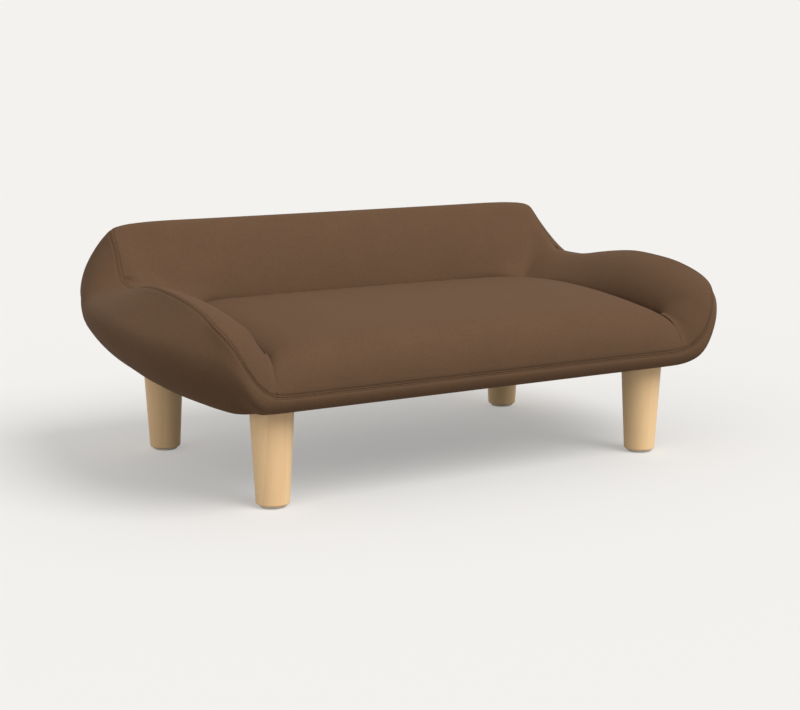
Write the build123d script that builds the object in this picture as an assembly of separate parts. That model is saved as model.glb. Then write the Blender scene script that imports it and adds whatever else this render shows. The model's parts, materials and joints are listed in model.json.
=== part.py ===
from build123d import *
from dataclasses import dataclass, replace
import math
import os

# Small upholstered sofa for a dog, on four screwed-in wooden legs.
# Millimetres. X runs across, Y from front to back, Z up from the floor.
# The origin is on the floor under the middle of the body.

# Driving sizes of the upholstered body
base_height = 112.0
front_seam_height = 133.5
arm_seam_height = 236.0
back_seam_height = 283.0
crease_height = 193.0
seam_half_width = 340.0
seat_half_width = 276.0
front_seam_reach = 211.0
back_seam_reach = 180.0
crease_reach = 110.0
side_bulge = 54.0
base_tuck = 40.0
belly_height = 200.0
belly_radius = 36.0
straight_half_width = 170.0
seat_shoulder_in = 41.0
seat_shoulder_height = 196.0

# Cloth, padding and the gaps between them
cover_thickness = 1.5
padding_gap = 0.8
crease_gap = 0.4
sewn_gap = 0.1
fold_width = 18.0
liner_thickness = 0.5

# Frame of plywood and battens
board_thickness = 12.0
board_corner_radius = 24.0
panel_thickness = 9.0
batten_width = 22.0
batten_height = 18.0
fit_gap = 0.2

# Legs
leg_spacing_across = 513.0
leg_spacing_deep = 312.0
leg_top_diameter = 50.0
leg_foot_diameter = 38.0
leg_edge_radius = 2.5
leg_gap = 0.3
glide_thickness = 3.0
glide_diameter = 30.0
bolt_diameter = 8.0
bolt_length = 50.0
bolt_in_leg = 30.0
nut_barrel_diameter = 10.0
nut_flange_diameter = 20.0
nut_flange_thickness = 1.5
thread_clearance = 0.05


@dataclass(frozen=True)
class Section:
    """One upright cut through the padded wall, from its top seam outward and inward."""

    seam: tuple
    crease: tuple
    bulge: float
    belly: float
    radius: float
    upper_turn: float
    lower_turn: float
    tuck: float
    shoulder_in: float
    shoulder_height: float
    shoulder_pitch: float


# Places along the wall, as shares. The columns are: seam across, seam deep from front to back,
# seam rise, crease across, crease deep, crease rise, bulge, belly rise, belly radius,
# upper and lower turn of the belly, tuck, shoulder in, shoulder rise, shoulder pitch.
# Turns and pitch are shares of a right angle.
arm_shares = (
    (0.8118, 0.000, 0.0000, 1.0000, 0.112, 0.664, 0.10, -0.098, 0.25, 0.29, 0.67, 0.72, 0.30, 0.249, 0.53),
    (0.8441, -0.003, 0.0585, 1.0043, 0.123, 0.689, 0.10, -0.038, 0.33, 0.24, 0.64, 0.73, 0.22, 0.317, 0.52),
    (0.8900, -0.012, 0.1824, 1.0058, 0.134, 0.714, 0.09, 0.098, 0.55, 0.26, 0.62, 0.90, 0.20, 0.434, 0.42),
    (0.9221, -0.008, 0.3551, 1.0065, 0.147, 0.731, 0.07, 0.323, 0.83, 0.17, 0.58, 1.02, 0.21, 0.551, 0.24),
    (0.9591, 0.012, 0.6068, 1.0065, 0.162, 0.748, 0.07, 0.549, 1.11, 0.09, 0.54, 0.91, 0.25, 0.717, 0.13),
    (0.9900, 0.061, 0.7698, 1.0054, 0.184, 0.773, 0.19, 0.624, 1.25, 0.19, 0.42, 0.73, 0.34, 0.820, -0.09),
    (0.9941, 0.153, 0.8976, 1.0036, 0.243, 0.807, 0.63, 0.684, 0.83, 0.44, 0.30, 0.66, 0.45, 0.863, -0.22),
    (1.0000, 0.284, 0.9756, 0.9928, 0.371, 0.874, 0.83, 0.669, 0.72, 0.52, 0.32, 0.78, 0.50, 0.898, -0.30),
    (1.0000, 0.437, 1.0000, 0.9710, 0.533, 0.916, 0.92, 0.722, 0.70, 0.53, 0.34, 0.82, 0.50, 0.893, -0.32),
    (0.9882, 0.591, 0.9415, 0.9420, 0.695, 0.950, 0.98, 0.782, 0.61, 0.54, 0.36, 0.77, 0.50, 0.844, -0.31),
    (0.9676, 0.719, 0.8537, 0.9058, 0.813, 0.975, 1.00, 0.789, 0.56, 0.58, 0.33, 0.69, 0.55, 0.805, -0.20),
    (0.9471, 0.824, 0.8634, 0.8804, 0.885, 0.988, 0.94, 0.805, 0.56, 0.58, 0.34, 0.60, 0.50, 0.776, -0.22),
)
corner_shares = (
    (0.9435, 0.861, 0.139, 0.8750, 0.897, 0.992, 0.90, 0.857, 0.56, 0.53, 0.36, 0.51, 0.39, 0.000, -0.24),
    (0.9294, 0.922, 0.557, 0.8696, 0.908, 0.995, 0.85, 0.962, 0.83, 0.29, 0.36, 0.39, 0.20, 0.361, -0.61),
    (0.9221, 0.988, 0.915, 0.8605, 0.922, 0.997, 0.78, 0.985, 1.00, 0.11, 0.31, 0.24, 0.19, 0.820, -0.66),
    (0.8882, 0.995, 0.967, 0.8460, 0.938, 0.998, 0.79, 1.008, 1.00, 0.09, 0.29, 0.17, 0.20, 0.949, -0.54),
    (0.8382, 1.000, 1.000, 0.8297, 0.950, 1.000, 0.78, 1.008, 1.00, 0.09, 0.27, 0.06, 0.22, 0.990, -0.53),
    (0.7500, 1.000, 1.000, 0.7826, 0.978, 1.000, 0.77, 1.008, 1.00, 0.11, 0.23, 0.00, 0.26, 1.000, -0.54),
    (0.6324, 1.000, 1.000, 0.7210, 0.994, 1.000, 0.76, 1.000, 1.00, 0.12, 0.22, -0.05, 0.30, 1.000, -0.56),
    (0.5000, 1.000, 1.000, 0.6159, 1.000, 1.000, 0.76, 1.000, 1.00, 0.12, 0.22, -0.07, 0.31, 1.000, -0.56),
)

# Across the seat from the middle to the arm: place, shoulder in, shoulder rise, shoulder pitch
seat_shares = (
    (0.00, 1.00, 1.00, 0.100),
    (0.55, 1.00, 0.98, 0.100),
    (0.83, 0.92, 0.83, 0.095),
    (1.00, 0.80, 0.58, 0.090),
)

right_angle = math.pi / 2
seam_depth = front_seam_reach + back_seam_reach
crease_depth = front_seam_reach + crease_reach


def section_of(row, low_seam, high_seam):
    """Turns one row of shares into a section; the seam rises from low_seam to high_seam."""
    seam_x = row[0] * seam_half_width
    seam_y = row[1] * seam_depth - front_seam_reach
    seam_z = low_seam + row[2] * (high_seam - low_seam)
    crease_x = row[3] * seat_half_width
    crease_y = row[4] * crease_depth - front_seam_reach
    crease_z = front_seam_height + row[5] * (crease_height - front_seam_height)
    width = math.hypot(seam_x - crease_x, seam_y - crease_y)
    belly = front_seam_height + row[7] * (belly_height - front_seam_height)
    shoulder_z = low_seam + row[13] * (high_seam - low_seam)
    return Section(
        (seam_x, seam_y, seam_z), (crease_x, crease_y, crease_z), row[6] * side_bulge, belly,
        row[8] * belly_radius, row[9] * right_angle, row[10] * right_angle, row[11] * base_tuck,
        row[12] * width, shoulder_z, row[14] * right_angle,
    )


def unit(x, y):
    """The direction of (x, y)."""
    size = math.hypot(x, y)
    return (x / size, y / size)


def end_normal(start, normal, end):
    """The outward normal at the end of an arc that leaves start square to normal."""
    chord = unit(end[0] - start[0], end[1] - start[1])
    along = normal[0] * chord[0] + normal[1] * chord[1]
    return (normal[0] - 2 * along * chord[0], normal[1] - 2 * along * chord[1])


def arc_middle(start, normal, end):
    """The middle point of an arc that leaves start square to normal and ends at end."""
    last = end_normal(start, normal, end)
    turn = math.acos(max(-1, min(1, normal[0] * last[0] + normal[1] * last[1])))
    reach = (end[0] - start[0], end[1] - start[1])
    outward = reach[0] * normal[0] + reach[1] * normal[1] < 0
    rise = math.hypot(*reach) / 2 * math.tan(turn / 4) * (1 if outward else -1)
    middle = unit(normal[0] + last[0], normal[1] + last[1])
    return ((start[0] + end[0]) / 2 + rise * middle[0], (start[1] + end[1]) / 2 + rise * middle[1])


def moved(point, normal, inset):
    """The point carried inward along its normal."""
    return (point[0] - inset * normal[0], point[1] - inset * normal[1])


class Outline:
    """The curve of one section at an inset from the outer face: outward distance and height."""

    def __init__(self, section, inset):
        self.section = section
        width = math.hypot(section.seam[0] - section.crease[0], section.seam[1] - section.crease[1])
        upper = (math.cos(section.upper_turn), math.sin(section.upper_turn))
        lower = (math.cos(section.lower_turn), -math.sin(section.lower_turn))
        centre = (section.bulge - section.radius, section.belly)
        self.upper = moved(centre, upper, inset - section.radius)
        self.lower = moved(centre, lower, inset - section.radius)
        self.belly = moved(centre, unit(upper[0] + lower[0], upper[1] + lower[1]), inset - section.radius)
        seam = (0, section.seam[2])
        shoulder = (-section.shoulder_in, section.shoulder_height)
        crease = (-width, section.crease[2])
        pitch = (math.sin(section.shoulder_pitch), math.cos(section.shoulder_pitch))
        outer_end = end_normal(moved(centre, upper, -section.radius), upper, seam)
        inner_end = end_normal(shoulder, pitch, seam)
        seam_normal = unit(outer_end[0] + inner_end[0], outer_end[1] + inner_end[1])
        mitre = inset / (seam_normal[0] * inner_end[0] + seam_normal[1] * inner_end[1])
        self.seam = moved(seam, seam_normal, mitre)
        self.sewn = moved(self.seam, (seam_normal[1], -seam_normal[0]), sewn_gap)
        self.shoulder = moved(shoulder, pitch, inset)
        self.crease = moved(crease, end_normal(shoulder, pitch, crease), inset)
        self.base = (-section.tuck - inset / 4, base_height + inset)
        self.foot = (self.crease[0], self.base[1])
        self.lower_flank = arc_middle(self.lower, lower, self.base)
        self.upper_flank = arc_middle(self.upper, upper, self.seam)
        self.shoulder_roll = arc_middle(self.shoulder, pitch, self.seam)
        self.inner_face = arc_middle(self.shoulder, pitch, self.crease)
        fold = min(fold_width, (self.base[0] - self.crease[0]) / 2)
        self.fold = (self.base[0] - fold, self.base[1])

    def place(self, point):
        """The point of the section in space."""
        section = self.section
        across = unit(section.seam[0] - section.crease[0], section.seam[1] - section.crease[1])
        return Vector(section.seam[0] + point[0] * across[0], section.seam[1] + point[0] * across[1], point[1])

    def wire(self, *spans):
        """A closed wire of lines (two points) and arcs (three points)."""
        edges = []
        for span in spans:
            points = [self.place(point) for point in span]
            if len(span) == 2:
                edges.append(Edge.make_line(*points))
            else:
                edges.append(Edge.make_three_point_arc(*points))
        return Wire(edges)


def ring(section, inset):
    """The whole closed section of the wall."""
    o = Outline(section, inset)
    return o.wire(
        (o.base, o.lower_flank, o.lower), (o.lower, o.belly, o.upper), (o.upper, o.upper_flank, o.seam),
        (o.seam, o.shoulder_roll, o.shoulder), (o.shoulder, o.inner_face, o.crease),
        (o.crease, o.foot), (o.foot, o.base),
    )


def outer_strip(section):
    """The thin closed section of the outer cover, folded in under the base."""
    o = Outline(section, 0)
    i = Outline(section, cover_thickness)
    return o.wire(
        (o.fold, o.base), (o.base, o.lower_flank, o.lower), (o.lower, o.belly, o.upper),
        (o.upper, o.upper_flank, o.seam), (o.seam, i.seam), (i.seam, i.upper_flank, i.upper),
        (i.upper, i.belly, i.lower), (i.lower, i.lower_flank, i.base), (i.base, i.fold), (i.fold, o.fold),
    )


def inner_strip(section):
    """The thin closed section of the inner cover, from crease to seam."""
    o = Outline(section, 0)
    i = Outline(section, cover_thickness)
    return o.wire(
        (o.crease, o.inner_face, o.shoulder), (o.shoulder, o.shoulder_roll, o.sewn), (o.sewn, i.sewn),
        (i.sewn, i.shoulder_roll, i.shoulder), (i.shoulder, i.inner_face, i.crease), (i.crease, o.crease),
    )


def slopes(places, values):
    """Slopes for a smooth curve through the values that never overshoots them."""
    steps = [b - a for a, b in zip(places, places[1:])]
    rates = [(b - a) / step for a, b, step in zip(values, values[1:], steps)]
    inside = []
    for before, after, step, next_step in zip(rates, rates[1:], steps, steps[1:]):
        if before * after <= 0:
            inside.append(0)
        else:
            one, two = 2 * next_step + step, next_step + 2 * step
            inside.append((one + two) / (one / before + two / after))
    return [rates[0]] + inside + [rates[-1]]


def value_at(place, places, values):
    """The smooth curve through the values, read at one place."""
    k = 0
    while k < len(places) - 2 and place > places[k + 1]:
        k += 1
    rates = slopes(places, values)
    step = places[k + 1] - places[k]
    t = (place - places[k]) / step
    return (
        (2 * t**3 - 3 * t**2 + 1) * values[k] + (t**3 - 2 * t**2 + t) * step * rates[k]
        + (3 * t**2 - 2 * t**3) * values[k + 1] + (t**3 - t**2) * step * rates[k + 1]
    )


def belly_point(section):
    """The outermost point of a section, seen from above."""
    width = math.hypot(section.seam[0] - section.crease[0], section.seam[1] - section.crease[1])
    share = 1 + section.bulge / width
    return [crease + share * (seam - crease) for seam, crease in zip(section.seam[:2], section.crease[:2])]


def even_sections(rows, low_seam, high_seam, count):
    """Sections at even steps along the wall, read from the rows of shares."""
    given = [section_of(row, low_seam, high_seam) for row in rows]
    places = [0]
    for a, b in zip(given, given[1:]):
        places.append(places[-1] + math.dist(a.seam, b.seam) + math.dist(belly_point(a), belly_point(b)))
    columns = list(zip(*rows))
    sections = []
    for k in range(count):
        place = places[-1] * k / (count - 1)
        row = [value_at(place, places, column) for column in columns]
        sections.append(section_of(row, low_seam, high_seam))
    return sections


arm_section_count = 25
corner_section_count = 17
arm_sections = even_sections(arm_shares, front_seam_height, arm_seam_height, arm_section_count)
notch_height = arm_sections[-1].seam[2]
notch_share = (arm_shares[-1][13] * (arm_seam_height - front_seam_height) + front_seam_height - notch_height) / (
    back_seam_height - notch_height)
notch_row = arm_shares[-1][:2] + (0,) + arm_shares[-1][3:13] + (notch_share,) + arm_shares[-1][14:]
corner_sections = even_sections((notch_row,) + corner_shares, notch_height, back_seam_height, corner_section_count)


def seat_section(x):
    """The upright cut from front to back through the seat at one place across."""
    places = [row[0] for row in seat_shares]
    shoulder_in, rise, pitch = (
        value_at(abs(x) / seat_half_width, places, column) for column in list(zip(*seat_shares))[1:]
    )
    return replace(
        arm_sections[0], seam=(x, -front_seam_reach, front_seam_height), crease=(x, crease_reach, crease_height),
        shoulder_in=shoulder_in * seat_shoulder_in,
        shoulder_height=front_seam_height + rise * (seat_shoulder_height - front_seam_height),
        shoulder_pitch=pitch * right_angle,
    )


def loft(sections, outline):
    """A solid drawn smoothly through one outline per section."""
    return Part() + Solid.make_loft([outline(section) for section in sections])


def straight(section, half_width, outline):
    """A solid of one outline running straight across the sofa."""
    ends = [replace(section, seam=(x,) + section.seam[1:], crease=(x,) + section.crease[1:])
            for x in (-half_width, half_width)]
    return loft(ends, outline)


def other_side(shape):
    """The same shape on the other side of the middle."""
    return mirror(shape, about=Plane.YZ)


def at_inset(inset):
    """The outline of the whole wall at an inset."""
    return lambda section: ring(section, inset)


def across(sections):
    """The same sections on the other side of the middle."""
    return [replace(section, seam=(-section.seam[0],) + section.seam[1:],
                    crease=(-section.crease[0],) + section.crease[1:]) for section in sections]


def box(low, high):
    """A box between two corners."""
    sizes = [b - a for a, b in zip(low, high)]
    return Pos(*[(a + b) / 2 for a, b in zip(low, high)]) * Box(*sizes)


def slab(outline, start, thickness):
    """A flat sketch seen from the side, drawn out across the sofa from start."""
    face = Plane.YZ * make_face(Polyline(outline, close=True).edges())
    return Pos(start, 0, 0) * extrude(face, thickness)


# Base board with the rails that stand on it
board_bottom = base_height + cover_thickness + fit_gap
board_top = board_bottom + board_thickness
board_half_width = 290.0
board_half_depth = 176.0
seat_frame_half_width = 230.0
side_rail_front = -128.0
side_rail_back = 118.0
leg_places = [(x, y) for x in (-leg_spacing_across / 2, leg_spacing_across / 2)
              for y in (-leg_spacing_deep / 2, leg_spacing_deep / 2)]


def board_shape(half_width, half_depth, corner_radius, thickness):
    """A flat board with rounded corners on the floor of its own frame."""
    return extrude(RectangleRounded(2 * half_width, 2 * half_depth, corner_radius), thickness)


def at_legs(shape, z):
    """One copy of a shape over each leg."""
    return [Pos(x, y, z) * shape for x, y in leg_places]


def leg_name(place):
    """Names a leg by where it stands."""
    return ("right" if place[0] > 0 else "left") + ("_rear" if place[1] > 0 else "_front")


arm_panel_outer = board_half_width
arm_panel_inner = arm_panel_outer - panel_thickness
arm_panel_front = -160.0
arm_panel_rise_end = -40.0
arm_panel_back = 60.0
arm_panel_front_height = 164.0
arm_panel_height = 197.0
back_panel_foot = 150.0
back_panel_head = 164.0
back_panel_height = 271.0
back_panel_half_width = 210.0
brace_places = (-140.0, 0, 140.0)
brace_height = 80.0

board = Pos(0, 0, board_bottom) * board_shape(
    board_half_width, board_half_depth, board_corner_radius, board_thickness)
rail_top = board_top + batten_height
rear_rail_back = back_panel_foot - fit_gap
rear_rail_front = rear_rail_back - batten_width
front_rail_front = -board_half_depth + fit_gap
front_rail_back = front_rail_front + batten_width
side_rail_outer = arm_panel_inner - fit_gap
front_rail = box(
    (-seat_frame_half_width, front_rail_front, board_top), (seat_frame_half_width, front_rail_back, rail_top))
rear_rail = box(
    (-seat_frame_half_width, rear_rail_front, board_top), (seat_frame_half_width, rear_rail_back, rail_top))
centre_rail = box((-batten_width / 2, front_rail_back, board_top), (batten_width / 2, rear_rail_front, rail_top))
right_rail = box(
    (side_rail_outer - batten_width, side_rail_front, board_top), (side_rail_outer, side_rail_back, rail_top))
left_rail = other_side(right_rail)


def arm_panel(gap):
    """The upright board inside the right arm, grown all round by a gap."""
    return slab(
        [(arm_panel_front - gap, board_top), (arm_panel_front - gap, arm_panel_front_height + gap),
         (arm_panel_rise_end, arm_panel_height + gap), (arm_panel_back + gap, arm_panel_height + gap),
         (arm_panel_back + gap, board_top)], arm_panel_inner - gap, panel_thickness + 2 * gap)


def back_panel(gap):
    """The leaning board inside the backrest, grown all round by a gap."""
    return slab(
        [(back_panel_foot - gap, board_top), (back_panel_foot + panel_thickness + gap, board_top),
         (back_panel_head + panel_thickness + gap, back_panel_height + gap),
         (back_panel_head - gap, back_panel_height + gap)],
        -back_panel_half_width - gap, 2 * back_panel_half_width + 2 * gap)


right_arm_panel = arm_panel(0)
left_arm_panel = other_side(right_arm_panel)


def back_face(height):
    """How far back the rear face of the backrest panel lies at a height."""
    share = (height - board_top) / (back_panel_height - board_top)
    return back_panel_foot + panel_thickness + share * (back_panel_head - back_panel_foot)


backrest_panel = back_panel(0)
brace_top = board_top + brace_height
brace = slab(
    [(back_face(board_top) + fit_gap, board_top), (board_half_depth, board_top),
     (board_half_depth, brace_top), (back_face(brace_top) + fit_gap, brace_top)], 0, board_thickness)
braces = [Pos(x - board_thickness / 2, 0, 0) * brace for x in brace_places]

# Screws that hold the rails and panels
screw_diameter = 4.0
screw_head_diameter = 8.0
screw_head_height = 2.4
screw_length = 27.0
panel_screw_places = (-90.0, -20.0, 50.0)
rail_screw_places = (-200.0, -70.0, 70.0, 200.0)


def screw(clearance):
    """A countersunk screw pointing up, its head on the floor of its own frame."""
    shank = Cylinder(screw_diameter / 2 + clearance, screw_length, align=(Align.CENTER, Align.CENTER, Align.MIN))
    head = Cone(screw_head_diameter / 2 + clearance, screw_diameter / 2 + clearance, screw_head_height,
                align=(Align.CENTER, Align.CENTER, Align.MIN))
    return shank + head


def screw_set(clearance):
    """All frame screws in place."""
    one = screw(clearance)
    placed = []
    for x in rail_screw_places:
        for y in ((front_rail_front + front_rail_back) / 2, (rear_rail_front + rear_rail_back) / 2):
            placed.append(Pos(x, y, board_bottom) * one)
    for side in (-1, 1):
        rail_middle = side * (side_rail_outer - batten_width / 2)
        for y in panel_screw_places:
            placed.append(Pos(rail_middle, y + batten_width / 2, board_bottom) * one)
            at_panel = Pos(side * arm_panel_outer, y - batten_width / 2, board_top + batten_height / 2)
            placed.append(at_panel * Rot(0, -side * 90, 0) * one)
    return placed


screws = screw_set(0)
screw_holes = Part() + screw_set(thread_clearance)

# Legs, bolts, threaded inserts and glides
leg_bottom = glide_thickness
leg_top = base_height - liner_thickness - leg_gap
leg_height = leg_top - leg_bottom
up = (Align.CENTER, Align.CENTER, Align.MIN)
bolt_bottom = leg_top - bolt_in_leg
leg_blank = Cone(leg_foot_diameter / 2, leg_top_diameter / 2, leg_height, align=up)
leg_blank = fillet(leg_blank.edges().group_by(Axis.Z)[0], leg_edge_radius)
leg_shape = leg_blank - Pos(0, 0, leg_height - bolt_in_leg) * Cylinder(bolt_diameter / 2, bolt_in_leg, align=up)
bolt_shape = Cylinder(bolt_diameter / 2, bolt_length, align=up)
bolt_shape = chamfer(bolt_shape.edges().group_by(Axis.Z)[-1], bolt_diameter / 8)
glide_shape = Cylinder(glide_diameter / 2, glide_thickness, align=up)
glide_shape = fillet(glide_shape.edges().group_by(Axis.Z)[0], glide_thickness / 3)
nut_bore = bolt_diameter / 2 + thread_clearance
nut_shape = (
    Cylinder(nut_barrel_diameter / 2, board_thickness, align=up)
    + Pos(0, 0, board_thickness) * Cylinder(nut_flange_diameter / 2, nut_flange_thickness, align=up)
    - Cylinder(nut_bore, board_thickness + nut_flange_thickness, align=up)
)
nut_hole = Cylinder(nut_barrel_diameter / 2 + thread_clearance, board_thickness, align=up)
bolt_room = Cylinder(nut_flange_diameter / 2 + fit_gap, 2 * nut_flange_thickness + bolt_length / 4, align=up)

# Padding with pockets for the frame
foam_inset = cover_thickness + padding_gap


def grown(low, high, gap):
    """A box between two corners, grown all round by a gap."""
    return box([value - gap for value in low], [value + gap for value in high])


def grown_box(shape, gap):
    """The box round a shape, grown all round by a gap."""
    around = shape.bounding_box()
    return grown(around.min, around.max, gap)


frame_room = Pos(0, 0, base_height) * board_shape(
    board_half_width + fit_gap, board_half_depth + fit_gap, board_corner_radius, board_top + fit_gap - base_height)
for rail in (front_rail, rear_rail, centre_rail, left_rail, right_rail):
    frame_room += grown_box(rail, fit_gap)
for brace in braces:
    frame_room += grown_box(brace, fit_gap)
frame_room += [arm_panel(fit_gap), other_side(arm_panel(fit_gap)), back_panel(fit_gap)]
frame_room += at_legs(bolt_room, board_top)

# Cloth panels of the wall
sides = {"left": (across(arm_sections), across(corner_sections)), "right": (arm_sections, corner_sections)}
back_section = corner_sections[-1]
back_cover = straight(back_section, straight_half_width - sewn_gap, outer_strip)
backrest_cover = straight(back_section, straight_half_width - sewn_gap, inner_strip)
front_band = straight(arm_sections[0], seat_half_width - sewn_gap, outer_strip)
backrest_foam = straight(back_section, straight_half_width - fit_gap, at_inset(foam_inset)) - frame_room
nodes = {}
for side, (arm, corner) in sides.items():
    nodes[side + "_outer_cover"] = loft(arm, outer_strip) + loft(corner, outer_strip)
    nodes[side + "_arm_cover"] = loft(arm, inner_strip)
    nodes[side + "_corner_cover"] = loft(corner, inner_strip)
    arm_foam = loft(arm, at_inset(foam_inset)) - nodes[side + "_arm_cover"]
    corner_foam = loft(corner, at_inset(foam_inset)) - nodes[side + "_corner_cover"]
    nodes[side + "_arm_foam"] = arm_foam - frame_room
    nodes[side + "_corner_foam"] = corner_foam - frame_room


def inside_crease(section):
    """The foot of the seat beside one section of the wall, a gap inside the crease."""
    away = unit(section.crease[0] - section.seam[0], section.crease[1] - section.seam[1])
    return (section.crease[0] + crease_gap * away[0], section.crease[1] + crease_gap * away[1])


seat_section_count = 9
seat_widest_share = 1.006
seat_edge = seat_half_width - crease_gap
right_edge = [(seat_edge, -front_seam_reach - side_bulge), (seat_edge, arm_sections[0].crease[1])]
right_edge += [inside_crease(section) for section in arm_sections[1:] + corner_sections[1:]]
left_edge = [(-x, y) for x, y in reversed(right_edge)]
seat_room = extrude(make_face(Polyline(right_edge + left_edge, close=True).edges()), back_seam_height)
seat_sections = [
    seat_section(seat_half_width * seat_widest_share * (2 * k / (seat_section_count - 1) - 1))
    for k in range(seat_section_count)]
seat_foam = (loft(seat_sections, at_inset(foam_inset)) & seat_room) - frame_room
seat_cover = loft(seat_sections, inner_strip) & seat_room

# Cloth under the base
liner_half_width = 296.0
liner_half_depth = 181.0
liner_corner_radius = 30.0
dust_cover = Pos(0, 0, base_height - liner_thickness) * board_shape(
    liner_half_width, liner_half_depth, liner_corner_radius, liner_thickness)

bores = Part() + at_legs(nut_hole, board_bottom)
bolt_bores = Part() + at_legs(Cylinder(bolt_diameter / 2 + thread_clearance, base_height, align=up), 0)
nodes |= {
    "base_board": board - bores - screw_holes,
    "front_rail": front_rail - screw_holes,
    "rear_rail": rear_rail - screw_holes,
    "centre_rail": centre_rail - screw_holes,
    "left_rail": left_rail - screw_holes,
    "right_rail": right_rail - screw_holes,
    "left_arm_panel": left_arm_panel - screw_holes,
    "right_arm_panel": right_arm_panel - screw_holes,
    "backrest_panel": backrest_panel,
    "backrest_braces": Compound(children=braces),
    "frame_screws": Compound(children=screws),
    "t_nuts": Compound(children=at_legs(nut_shape, board_bottom)),
    "seat_foam": seat_foam,
    "backrest_foam": backrest_foam,
    "seat_cover": seat_cover,
    "front_band": front_band,
    "back_cover": back_cover,
    "backrest_cover": backrest_cover,
    "dust_cover": dust_cover - bolt_bores,
}
for place in leg_places:
    at = Pos(*place, 0)
    nodes["leg_" + leg_name(place)] = at * Pos(0, 0, leg_bottom) * leg_shape
    nodes["bolt_" + leg_name(place)] = at * Pos(0, 0, bolt_bottom) * bolt_shape
    nodes["glide_" + leg_name(place)] = at * glide_shape

os.makedirs("parts", exist_ok=True)
for name, shape in nodes.items():
    export_step(shape, "parts/" + name + ".step")
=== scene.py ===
"""Small upholstered sofa for a dog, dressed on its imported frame.

Lengths are millimetres and angles are degrees, except where a note says metres.
X runs across, Y from front to back, Z up, with the origin on the floor under the middle.
"""

from __future__ import annotations

import json
import logging
import math
from dataclasses import dataclass, field
from enum import Enum

import bmesh
import bpy
import numpy as np
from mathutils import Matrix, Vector
from numpy.linalg import norm

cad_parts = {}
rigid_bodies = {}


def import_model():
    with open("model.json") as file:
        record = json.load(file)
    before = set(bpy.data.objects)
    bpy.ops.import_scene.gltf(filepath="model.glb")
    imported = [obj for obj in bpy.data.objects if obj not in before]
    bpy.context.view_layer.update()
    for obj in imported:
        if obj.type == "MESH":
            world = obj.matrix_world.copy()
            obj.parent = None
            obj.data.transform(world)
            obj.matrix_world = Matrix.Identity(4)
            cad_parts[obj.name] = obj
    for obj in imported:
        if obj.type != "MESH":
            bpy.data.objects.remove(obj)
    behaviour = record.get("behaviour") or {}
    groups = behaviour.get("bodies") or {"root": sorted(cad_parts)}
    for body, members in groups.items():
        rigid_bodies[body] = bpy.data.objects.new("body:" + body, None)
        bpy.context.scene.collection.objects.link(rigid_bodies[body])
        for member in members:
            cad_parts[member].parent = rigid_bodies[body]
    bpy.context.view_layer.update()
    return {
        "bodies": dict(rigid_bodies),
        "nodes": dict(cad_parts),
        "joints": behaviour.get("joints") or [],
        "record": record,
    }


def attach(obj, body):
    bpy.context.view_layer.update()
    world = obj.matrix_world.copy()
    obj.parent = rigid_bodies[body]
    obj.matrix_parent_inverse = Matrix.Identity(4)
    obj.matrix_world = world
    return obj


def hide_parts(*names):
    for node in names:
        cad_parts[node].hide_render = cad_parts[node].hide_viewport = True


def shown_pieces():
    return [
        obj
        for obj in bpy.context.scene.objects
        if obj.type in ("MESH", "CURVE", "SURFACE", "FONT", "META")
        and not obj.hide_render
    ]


log = logging.getLogger("sofa")

MM = 0.001
BASE_Z = 112.0
BOARD_TOP = 126.0
BOARD_Y = (-204.0, 107.0)
CLOTH = 1.5
UNDER_FOLD = 24.0
FOLD_TURN = 9.0
PAD_INSET = 2.6
SEAT_HALF = 276.0
SEAT_SPAN = 278.5
CREASE_Y = 110.0
CREASE_Z = 193.0
NO_SEAM = 30.0
BODY = "sofa_body"
Array = np.ndarray
Material = bpy.types.Material
Object = bpy.types.Object
Socket = bpy.types.NodeSocket
Colour = tuple[float, float, float]


class Column(Enum):
    """The columns of a wall row, in the order of the tables below."""

    SEAM = slice(0, 3)
    CREASE = slice(3, 6)
    BULGE = 6
    BELLY = 7
    RADIUS = 8
    UPPER_TURN = 9
    LOWER_TURN = 10
    TUCK = 11
    SHOULDER_IN = 12
    SHOULDER_Z = 13
    PITCH = 14


# One row per cut through the wall, its numbers in the order of Column
FRONT_ROWS = np.array([
    (x, -211, 133.5, x, -175, 173, 1.4, 130.5, 16.5, 8, 68, 28.8, 10.8, 159, 48)
    for x in (0, 200, 250, 264)
])
ARM_ROWS = np.array([
    (276, -211, 133.7, 273, -175, 173, 1.6, 130.7, 16.5, 8, 67, 28.8, 10.8, 159, 48),
    (287, -212.2, 138.4, 273.4, -171.5, 174.5, 2.8, 132.5, 17, 10, 62, 29.2, 9.2, 166, 47),
    (302.6, -215.7, 152.2, 273.6, -168, 176, 5, 140, 19.8, 23, 56, 36, 10.6, 178, 38),
    (313.5, -214.2, 169.9, 273.7, -163.8, 177, 4, 155, 29.9, 15, 52, 40.8, 12.7, 190, 22),
    (326.1, -206.3, 195.7, 273.7, -159, 178, 4, 170, 40, 8, 49, 36.4, 14.8, 207, 12),
    (336.6, -187.1, 212.4, 273.6, -151.9, 179.5, 10, 175, 45, 17, 38, 29.2, 20, 217.6, -6),
    (338, -151.2, 225.5, 273.2, -133, 181.5, 34, 179, 29.9, 40, 27, 26.4, 25.5, 222, -17),
    (340, -100, 233.5, 271.6, -91.9, 185.5, 45, 178, 25.9, 47, 29, 31.2, 31.8, 225.5, -25),
    (340, -40.1, 236, 267, -39.9, 188, 49.5, 181.5, 25.2, 48, 31, 32.8, 36, 225, -29),
    (336, 20.1, 230, 260, 12.1, 190, 53, 185.5, 22, 49, 32, 30.8, 38.2, 220, -28),
    (329, 70.1, 221, 250, 50, 191.5, 54, 186, 20.2, 52, 30, 27.6, 44.8, 216, -18),
    (322, 111.2, 222, 243, 73.1, 192.3, 51, 187, 20.2, 52, 31, 24, 43.9, 213, -20),
])
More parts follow.
